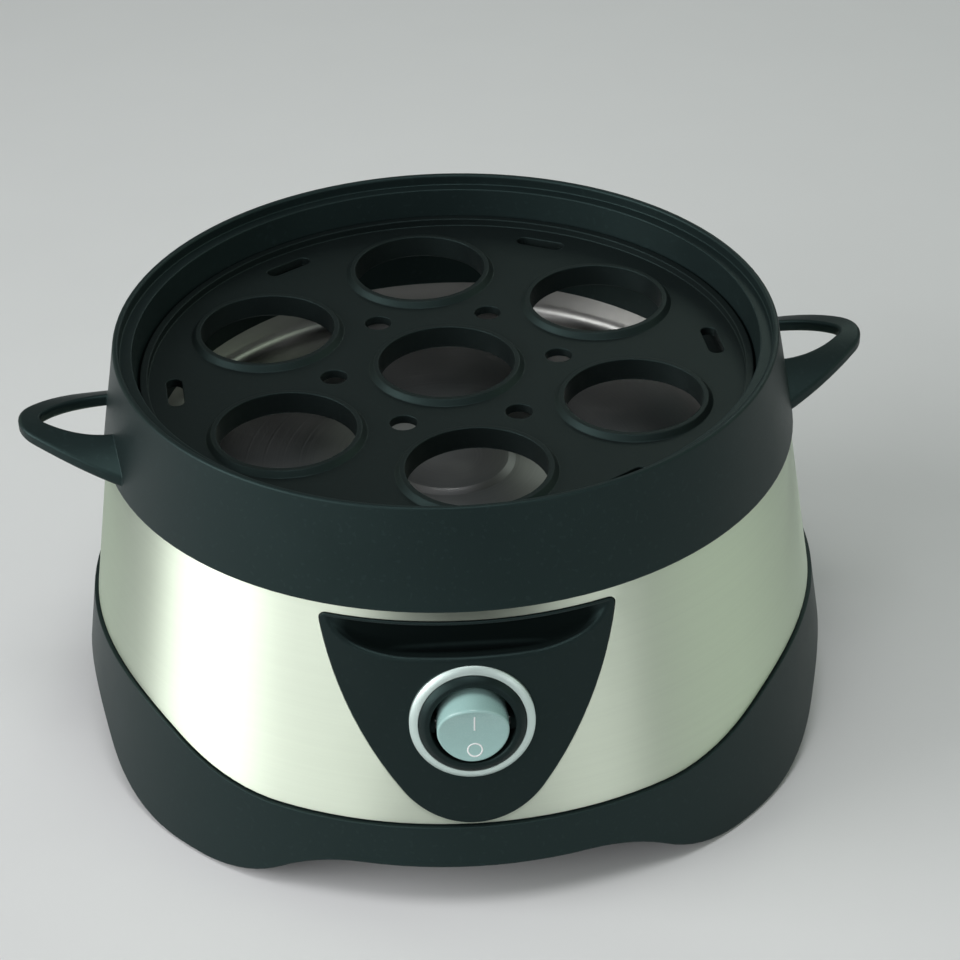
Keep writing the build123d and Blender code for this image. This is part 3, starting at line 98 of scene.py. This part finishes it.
class Finish(Graph):
    """One procedural material, drawn on Object coordinates."""

    BEVEL_SAMPLES = 6
    EDGE_GAIN = 3.4  # how fast the edge mask grows as an edge turns
    SPECK_RIM = 0.06  # softness of a speck's outline

    def __init__(self, name, **constants):
        self.material = bpy.data.materials.new(name)
        self.material.use_nodes = True
        super().__init__(self.material.node_tree)
        self.shader = self.tree.nodes["Principled BSDF"]
        self.place = self.node("ShaderNodeTexCoord", out="Object")
        self.feed(**constants)

    def feed(self, **sockets):
        """Values or links for the shader's own sockets."""
        for name, value in sockets.items():
            socket = self.shader.inputs[name.replace("_", " ")]
            if isinstance(value, Value):
                self.tree.links.new(value.socket, socket)
            else:
                socket.default_value = value

    def noise(self, scale, detail=2.0, roughness=0.5, stretch=(1.0, 1.0, 1.0)):
        """Noise from 0 to 1, scale in lumps a metre."""
        spread = self.node("ShaderNodeMapping", {}, {"Vector": self.place, "Scale": stretch})
        sockets = {"Vector": spread, "Scale": scale, "Detail": detail, "Roughness": roughness}
        return self.node("ShaderNodeTexNoise", {}, sockets)

    def mix(self, factor, first, second):
        """Colour between two colours."""
        sockets = {0: factor, 6: first, 7: second}
        return self.node("ShaderNodeMix", {"data_type": "RGBA"}, sockets, out=2)

    def soft_edges(self, radius):
        """Normal that turns over a small radius at sharp edges."""
        return self.node("ShaderNodeBevel", {"samples": self.BEVEL_SAMPLES}, {"Radius": radius})

    def edge_wear_and_highlight(self, radius):
        """Nothing on flat parts, rising to 1 along sharp edges: marks wear and a painted edge
        highlight.
        """
        rounded = self.soft_edges(radius)
        facing = self.node("ShaderNodeNewGeometry", out="Normal")
        turn = self.vector("DOT_PRODUCT", rounded, facing, out="Value")
        clamped = {"operation": "MULTIPLY", "use_clamp": True}
        return self.node("ShaderNodeMath", clamped, {0: 1.0 - turn, 1: self.EDGE_GAIN})

    def vector(self, operation, first, second, out="Vector"):
        """Sum on two vectors."""
        sockets = {0: first, 1: second}
        return self.node("ShaderNodeVectorMath", {"operation": operation}, sockets, out=out)

    def along(self, direction):
        """How far a point lies along a direction."""
        return self.vector("DOT_PRODUCT", self.place, direction, out="Value")

    def sideways(self):
        """Distance from the middle plane, to either side."""
        across = self.along(AXIS_X)
        return across.math("ABSOLUTE", across, 0.0)

    def reach(self, origin, axis):
        """Distance from an axis."""
        across = self.vector("CROSS_PRODUCT", self.vector("SUBTRACT", self.place, origin), axis)
        return self.node("ShaderNodeVectorMath", {"operation": "LENGTH"}, {0: across}, out="Value")

    def ramp(self, value, start, end):
        """0 up to the start, 1 from the end on."""
        sockets = {"Value": value, "From Min": start, "From Max": end}
        return self.node("ShaderNodeMapRange", {}, sockets)

    def specks(self, scale, share):
        """Sparse small spots, from 0 to 1."""
        start = 1.0 - share
        return self.ramp(self.noise(scale, detail=0.0), start, start + self.SPECK_RIM)

    def bump(self, height, depth, strength=1.0, normal=None):
        """Feed the shader's normal with a small relief."""
        sockets = {"Height": height, "Distance": depth, "Strength": strength}
        if normal:
            sockets["Normal"] = normal
        self.feed(Normal=self.node("ShaderNodeBump", {}, sockets))


def shade(colour, factor):
    """The same colour, darker or lighter."""
    return tuple(min(1.0, channel * factor) for channel in colour) + (1.0,)


def swing(noise, amount):
    """Noise from 0 to 1 as a small change either way."""
    return amount * (noise - 0.5)


NEUTRAL = (1.0, 1.0, 1.0, 1.0)


def moulded(name, colour, roughness, grain=0.22 * MM, sheen=NEUTRAL, hollows=None):
    """Spark-eroded plastic: fine grain, faint clouds, specks, edges lightened as wear and painted
    highlight, and painted shade with dulling in hollows.
    """
    cloud_scale, speck_scale, speck_share, speck_cover = 45.0, 900.0, 0.3, 0.35
    depth, edge, tint = 0.028 * MM, 0.5 * MM, 0.16
    speck_shade, wear_and_highlight_shade, hollow_shade = 2.2, 3.2, 0.1
    cloud_gloss, grain_gloss, worn_gloss, hollow_dulling = 0.12, 0.1, 0.1, 0.6
    finish = Finish(name, Metallic=0.0, IOR=1.5, Specular_IOR_Level=0.3, Specular_Tint=sheen)
    clouds = finish.noise(cloud_scale, detail=4.0, roughness=0.6)
    sparks = finish.noise(1.0 / grain, detail=2.0, roughness=0.6)
    wear_and_highlight = finish.edge_wear_and_highlight(edge)
    dust = finish.specks(speck_scale, speck_share)
    body = finish.mix(clouds, shade(colour, 1.0 - tint), shade(colour, 1.0 + tint))
    dusty = finish.mix(speck_cover * dust, body, shade(colour, speck_shade))
    # Edges lightened in colour: partly wear, partly a painted highlight along the edge lines.
    surface_colour = finish.mix(wear_and_highlight * (0.5 + 0.5 * clouds), dusty, shade(colour, wear_and_highlight_shade))
    rough = roughness + swing(clouds, cloud_gloss) + swing(sparks, grain_gloss) - worn_gloss * wear_and_highlight
    if hollows:
        # Painted shade: the colour is darkened, and the roughness raised, deep in the hollows the
        # mask marks.
        deep = hollows(finish)
        surface_colour = finish.mix(deep, surface_colour, shade(colour, hollow_shade))
        rough = rough + hollow_dulling * deep
    finish.feed(Base_Color=surface_colour, Roughness=rough)
    finish.bump(sparks, depth, normal=finish.soft_edges(edge))
    return finish.material


def brushed(name, colour, roughness, anisotropy):
    """Steel brushed round the axis: fine streaks, brighter or duller, and a painted dark
    reflection under the seam at the front.
    """
    streak_stretch, band_stretch, cloud_scale = (9.0, 9.0, 3400.0), (4.0, 4.0, 900.0), 14.0
    streak_share, band_share, cloud_share, tint = 0.45, 0.35, 0.2, 0.05
    streak_gloss, cloud_gloss = 0.1, 0.06
    streak_depth, streak_relief, edge = 0.002 * MM, 0.25, 0.2 * MM
    shade_half, shade_core, shade_front = 30.0 * MM, 4.0 * MM, -10.0 * MM
    shade_low, shade_high, shade_cover, shade_darkness = 74.0 * MM, 77.0 * MM, 0.75, 0.2
    finish = Finish(name, Metallic=1.0, Anisotropic=anisotropy, Anisotropic_Rotation=0.25)
    streaks = finish.noise(1.0, detail=1.0, stretch=streak_stretch)
    bands = finish.noise(1.0, detail=1.0, stretch=band_stretch)
    clouds = finish.noise(cloud_scale)
    tone = streak_share * streaks + band_share * bands + cloud_share * clouds
    # Painted dark reflection: the steel is darkened just under the seam at the front middle.
    middle = finish.ramp(finish.sideways(), shade_half, shade_core)
    front = finish.ramp(finish.along(AXIS_Y), 0.0, shade_front)
    painted_shade = middle * front * finish.ramp(finish.along(AXIS_Z), shade_low, shade_high)
    bright = finish.mix(tone, shade(colour, 1.0 - tint), shade(colour, 1.0 + tint))
    finish.feed(
        Base_Color=finish.mix(shade_cover * painted_shade, bright, shade(colour, shade_darkness)),
        Roughness=roughness + swing(streaks, streak_gloss) + swing(clouds, cloud_gloss),
    )
    finish.bump(streaks, streak_depth, strength=streak_relief, normal=finish.soft_edges(edge))
    return finish.material


def spun(name, colour, roughness):
    """Pressed steel, turned in fine rings round the axis, with faint heat stains."""
    ring_scale, stain_scale, dark, pale = 1900.0, 28.0, 0.8, 1.12
    ring_gloss, stain_gloss, ring_depth, ring_relief = 0.16, 0.2, 0.006 * MM, 0.6
    finish = Finish(name, Metallic=1.0)
    sockets = {"W": finish.reach(Vector(), AXIS_Z), "Scale": ring_scale, "Detail": 2.0}
    rings = finish.node("ShaderNodeTexNoise", {"noise_dimensions": "1D"}, sockets)
    stains = finish.noise(stain_scale, detail=5.0, roughness=0.62)
    tone = 0.5 * rings + 0.5 * stains
    finish.feed(
        Base_Color=finish.mix(tone, shade(colour, dark), shade(colour, pale)),
        Roughness=roughness + swing(rings, ring_gloss) + swing(stains, stain_gloss),
    )
    finish.bump(rings, ring_depth, strength=ring_relief)
    return finish.material


def plain_metal(name, colour, roughness):
    """Plated or cast metal with a fine uneven grain."""
    grain, cloud_scale, dark, pale = 0.3 * MM, 90.0, 0.85, 1.1
    grain_gloss, depth, edge = 0.15, 0.01 * MM, 0.15 * MM
    finish = Finish(name, Metallic=1.0)
    lumps = finish.noise(1.0 / grain, detail=3.0)
    clouds = finish.noise(cloud_scale, detail=3.0)
    finish.feed(
        Base_Color=finish.mix(clouds, shade(colour, dark), shade(colour, pale)),
        Roughness=roughness + swing(lumps, grain_gloss),
    )
    finish.bump(lumps, depth, normal=finish.soft_edges(edge))
    return finish.material


def gloss(name, colour, roughness, coat, edge, metallic=0.0, hollows=None):
    """Polished moulding with a faint waviness and painted shade on hidden parts."""
    wave_scale, wave_depth, tint = 320.0, 0.02 * MM, 0.05
    dust_scale, dust_gloss, hollow_shade = 5200.0, 0.04, 0.02
    finish = Finish(name, Metallic=metallic, IOR=1.5, Coat_Weight=coat, Coat_Roughness=0.12)
    waves = finish.noise(wave_scale)
    dust = finish.noise(dust_scale)
    body = finish.mix(waves, shade(colour, 1.0 - tint), shade(colour, 1.0 + tint))
    if hollows:
        # Painted shade: the colour goes nearly black where the mask marks hidden parts.
        body = finish.mix(hollows(finish), body, shade(colour, hollow_shade))
    finish.feed(Base_Color=body, Roughness=roughness + swing(dust, dust_gloss))
    finish.bump(waves, wave_depth, normal=finish.soft_edges(edge))
    return finish.material


# Switch: its middle on the pivot, the way it faces, and the rocker's face at rest
PIVOT = Vector((0.0, -89.406, 50.829)) * MM
SWITCH_SLOPE, ROCKER_TILT = math.radians(8.16), math.radians(16.0)
MOUTH_R, ROCKER_R, ROCKER_EDGE, HOLLOW_R = 9.9, 8.4, 5.4, 22.0
MOUTH_RIM, PIN_START = 0.08, 0.04
SWITCH_OUT = Vector((0.0, -math.cos(SWITCH_SLOPE), math.sin(SWITCH_SLOPE)))
FACE_SLOPE = SWITCH_SLOPE - ROCKER_TILT
FACE_OUT = Vector((0.0, -math.cos(FACE_SLOPE), math.sin(FACE_SLOPE)))
FACE_UP = Vector((0.0, math.sin(FACE_SLOPE), math.cos(FACE_SLOPE)))

# Panel's face: its radius at a height, how it narrows upwards, and the finger recess sunk in it
FACE_R, FACE_Z, FACE_LEAN = 86.37, 76.0, 0.1434
RECESS_START, RECESS_DEEP = 1.0, 2.2
RECESS_LOW, RECESS_LIT = 66.0, 67.0


def panel_hollows(finish):
    """Painted shade mask: 1 in the switch's mouth and deep in the finger recess."""
    from_switch = finish.reach(PIVOT, SWITCH_OUT)
    mouth = 1.0 - finish.ramp(from_switch, MOUTH_R * MM, (MOUTH_R + MOUTH_RIM) * MM)
    height = finish.along(AXIS_Z)
    face = FACE_R * MM - FACE_LEAN * (height - FACE_Z * MM)
    below_face = face - finish.reach(Vector(), AXIS_Z)
    sunk = finish.ramp(below_face, RECESS_START * MM, RECESS_DEEP * MM)
    recess = sunk * finish.ramp(height, RECESS_LOW * MM, RECESS_LIT * MM)
    return mouth.math("MAXIMUM", mouth, recess)


def rocker_pins(finish):
    """Painted shade mask: 1 beyond the rocker's sides, where only its pins are."""
    return finish.ramp(finish.sideways(), (ROCKER_R - PIN_START) * MM, ROCKER_R * MM)


SLATE = (0.0068, 0.0114, 0.0117)
SLATE_SHEEN = (0.6, 1.0, 0.96, 1.0)
PANEL_BLACK = (0.0045, 0.0067, 0.007)
RACK_BLACK = (0.0045, 0.0058, 0.006)
RING_GREY = (0.66, 0.78, 0.745)
ROCKER_TEAL = (0.335, 0.53, 0.505)
SWITCH_EDGE = 0.3 * MM
finishes = {
    "dark_plastic": moulded("slate_plastic", SLATE, 0.44, sheen=SLATE_SHEEN),
    "panel_plastic": moulded(
        "panel_plastic", PANEL_BLACK, 0.42, 0.18 * MM, SLATE_SHEEN, panel_hollows
    ),
    "rack_plastic": moulded("rack_plastic", RACK_BLACK, 0.5, 0.3 * MM, SLATE_SHEEN),
    "brushed_steel": brushed("band_steel", (0.775, 0.85, 0.715), 0.46, 0.94),
    "pan_steel": spun("pan_steel", (0.60, 0.60, 0.585), 0.36),
    "ring_silver": gloss("ring_silver", RING_GREY, 0.46, 0.06, SWITCH_EDGE, metallic=0.85),
    "rocker_grey": gloss("rocker_grey", ROCKER_TEAL, 0.27, 0.3, SWITCH_EDGE, hollows=rocker_pins),
    "gasket_rubber": moulded("gasket_rubber", (0.36, 0.12, 0.07), 0.7),
    "foot_rubber": moulded("foot_rubber", (0.018, 0.018, 0.018), 0.8, grain=0.4 * MM),
    "cast_aluminium": plain_metal("cast_aluminium", (0.72, 0.72, 0.73), 0.45),
    "element_steel": plain_metal("element_steel", (0.38, 0.36, 0.34), 0.5),
    "screw_steel": plain_metal("screw_steel", (0.6, 0.6, 0.58), 0.35),
    "contact_brass": plain_metal("contact_brass", (0.78, 0.58, 0.27), 0.3),
    "pale_plastic": moulded("pale_plastic", (0.72, 0.71, 0.66), 0.5),
    "block_plastic": moulded("block_plastic", (0.10, 0.085, 0.075), 0.5),
    "wire_brown": moulded("wire_brown", (0.16, 0.07, 0.035), 0.45),
    "wire_blue": moulded("wire_blue", (0.03, 0.11, 0.42), 0.45),
    "wire_green": moulded("wire_green", (0.17, 0.42, 0.06), 0.45),
}
for entry in frame["record"]["subparts"]:
    mesh = nodes[entry["node"]].data
    mesh.materials.clear()
    mesh.materials.append(finishes[entry["material_slot"]])

# Switch marks: a bar and a ring of thin print, wrapped over the rocker's hollow face
MARK_SIZES = {
    "Across": 0.3 * MM,
    "Stroke": 0.36 * MM,
    "Thickness": 0.1 * MM,
    "Bar Low": 0.6 * MM,
    "Bar High": 5.8 * MM,
    "Ring Along": -5.15 * MM,
    "Ring Radius": 1.68 * MM,
    "Hollow Radius": HOLLOW_R * MM,
    "Hollow Centre": (ROCKER_EDGE + math.sqrt(HOLLOW_R**2 - ROCKER_R**2)) * MM,
}
BAR_POINTS, RING_POINTS = 12, 48
print_white = gloss("print_white", (0.97, 1.0, 0.99), 0.4, 0.0, 0.05 * MM)


def mark_tree():
    """Nodes that draw both marks flat, lay them on the hollow face and turn them to the rocker."""
    tree = bpy.data.node_groups.new("switch_marks", "GeometryNodeTree")
    for name in MARK_SIZES:
        tree.interface.new_socket(name=name, in_out="INPUT", socket_type="NodeSocketFloat")
    tree.interface.new_socket(
        name="Geometry", in_out="OUTPUT", socket_type="NodeSocketGeometry"
    )
    plan = Graph(tree)
    size = {name: plan.node("NodeGroupInput", out=name) for name in MARK_SIZES}

    def point(**axes):
        return plan.node("ShaderNodeCombineXYZ", {}, axes)

    def step(kind, **sockets):
        named = {key.replace("_", " "): value for key, value in sockets.items()}
        return plan.node("GeometryNode" + kind, {}, named)

    low = point(X=size["Across"], Y=size["Bar Low"])
    high = point(X=size["Across"], Y=size["Bar High"])
    middle = point(X=size["Across"], Y=size["Ring Along"])
    line = step("CurvePrimitiveLine", Start=low, End=high)
    bar = step("ResampleCurve", Curve=line, Count=BAR_POINTS)
    circle = step("CurvePrimitiveCircle", Resolution=RING_POINTS, Radius=size["Ring Radius"])
    ring = step("Transform", Geometry=circle, Translation=middle)
    strokes = step("JoinGeometry", Geometry=[bar, ring])
    band = step("CurvePrimitiveQuadrilateral", Width=size["Stroke"], Height=size["Thickness"])
    flat = step("CurveToMesh", Curve=strokes, Profile_Curve=band, Fill_Caps=True)
    place = step("InputPosition")
    across, along, lift = [
        plan.node("ShaderNodeSeparateXYZ", {}, {0: place}, out=k) for k in range(3)
    ]
    out = size["Hollow Centre"] - (size["Hollow Radius"] ** 2.0 - along**2.0) ** 0.5 + lift
    laid = point(
        X=across + PIVOT.x,
        Y=FACE_UP.y * along + FACE_OUT.y * out + PIVOT.y,
        Z=FACE_UP.z * along + FACE_OUT.z * out + PIVOT.z,
    )
    wrapped = step("SetPosition", Geometry=flat, Position=laid)
    whole = step("RealizeInstances", Geometry=wrapped)
    printed = step("SetMaterial", Geometry=whole, Material=print_white)
    plan.node("NodeGroupOutput", {}, {"Geometry": printed})
    return tree


def grown(name, tree, sizes):
    """Plain mesh object from a geometry tree and its sizes."""
    piece = bpy.data.objects.new(name, bpy.data.meshes.new(name))
    bpy.context.scene.collection.objects.link(piece)
    grow = piece.modifiers.new("grow", "NODES")
    grow.node_group = tree
    for socket in tree.interface.items_tree:
        if socket.in_out == "INPUT":
            grow[socket.identifier] = sizes[socket.name]
    evaluated = piece.evaluated_get(bpy.context.evaluated_depsgraph_get())
    mesh = bpy.data.meshes.new_from_object(evaluated)
    piece.modifiers.remove(grow)
    piece.data = mesh
    shell = bmesh.new()
    shell.from_mesh(mesh)
    bmesh.ops.recalc_face_normals(shell, faces=shell.faces)
    shell.to_mesh(mesh)
    shell.free()
    return piece


marks = grown("switch_marks", mark_tree(), MARK_SIZES)
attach(marks, "rocker")

# Camera at the photograph's angle
LENS, SENSOR_WIDTH, NEAR_CLIP = 106.3, 36.0, 0.01
AIM = Vector((7.551, 0.0, 58.6)) * MM
AZIMUTH, ELEVATION, ROLL = math.radians(-2.82), math.radians(33.127), math.radians(-1.417)
DISTANCE = 725.17 * MM
level = math.cos(ELEVATION)
back = Vector((math.sin(AZIMUTH) * level, -math.cos(AZIMUTH) * level, math.sin(ELEVATION)))
right = back.cross(-AXIS_Z).normalized()
up = right.cross(-back)
rolled_right = right * math.cos(ROLL) + up * math.sin(ROLL)
rolled_up = up * math.cos(ROLL) - right * math.sin(ROLL)
lens = bpy.data.cameras.new("camera")
lens.lens = LENS
lens.sensor_width = SENSOR_WIDTH
lens.sensor_fit = "HORIZONTAL"
lens.clip_start = NEAR_CLIP
camera = bpy.data.objects.new("camera", lens)
camera.matrix_world = Matrix(
    (
        (rolled_right.x, rolled_up.x, back.x, AIM.x + back.x * DISTANCE),
        (rolled_right.y, rolled_up.y, back.y, AIM.y + back.y * DISTANCE),
        (rolled_right.z, rolled_up.z, back.z, AIM.z + back.z * DISTANCE),
        (0, 0, 0, 1),
    )
)
scene = bpy.context.scene
scene.collection.objects.link(camera)
scene.camera = camera

# Studio: a pale paper floor, a dim sky and gridded softboxes
FLOOR_HALF = 6.0
PAPER_DARK, PAPER_PALE = (0.71, 0.715, 0.72, 1.0), (0.73, 0.735, 0.74, 1.0)
PAPER_SCALE = 30.0
SKY_COLOUR, SKY_STRENGTH = (0.9, 0.95, 1.0, 1.0), 0.15
floor_mesh = bpy.data.meshes.new("floor")
turns = ((-1, -1), (1, -1), (1, 1), (-1, 1))
corners = [(x * FLOOR_HALF, y * FLOOR_HALF, 0) for x, y in turns]
floor_mesh.from_pydata(corners, [], [(0, 1, 2, 3)])
floor = bpy.data.objects.new("floor", floor_mesh)
scene.collection.objects.link(floor)
paper = Finish("floor_paper", Roughness=0.9, Specular_IOR_Level=0.1)
paper.feed(Base_Color=paper.mix(paper.noise(PAPER_SCALE), PAPER_DARK, PAPER_PALE))
floor_mesh.materials.append(paper.material)

world = bpy.data.worlds.new("studio")
world.use_nodes = True
sky = world.node_tree.nodes["Background"]
sky.inputs["Color"].default_value = SKY_COLOUR
sky.inputs["Strength"].default_value = SKY_STRENGTH
scene.world = world

LAMP_TARGET = Vector((0.0, 0.0, 0.06))
LAMP_SPREAD = math.radians(90)


def softbox(name, place, width, height, power, colour=(1.0, 1.0, 1.0)):
    """Gridded area lamp that looks at the middle of the object."""
    lamp = bpy.data.lights.new(name, "AREA")
    lamp.shape = "RECTANGLE"
    lamp.size = width
    lamp.size_y = height
    lamp.spread = LAMP_SPREAD
    lamp.energy = power
    lamp.color = colour
    holder = bpy.data.objects.new(name, lamp)
    holder.location = place
    holder.rotation_euler = (LAMP_TARGET - Vector(place)).to_track_quat("-Z", "Y").to_euler()
    scene.collection.objects.link(holder)


softbox("key", (-1.4, -0.22, 0.68), width=0.95, height=1.15, power=4.8)
softbox("front", (-0.9, -0.95, 0.6), width=1.0, height=0.8, power=1.75)
softbox("top", (0.0, -0.3, 1.3), width=0.5, height=0.5, power=1.15)
softbox("side", (0.75, -1.0, 0.45), width=0.6, height=0.6, power=0.5)
softbox("fill", (1.1, 0.05, 0.6), 1.5, 0.8, power=0.78, colour=(0.84, 1.0, 0.76))
softbox("back", (-0.75, 0.95, 0.6), 0.9, 0.8, power=0.24, colour=(0.8, 1.0, 0.72))
softbox("rear", (0.42, 1.0, 0.78), 0.35, 0.35, power=0.25, colour=(0.88, 1.0, 0.88))

scene.view_settings.view_transform = "Standard"
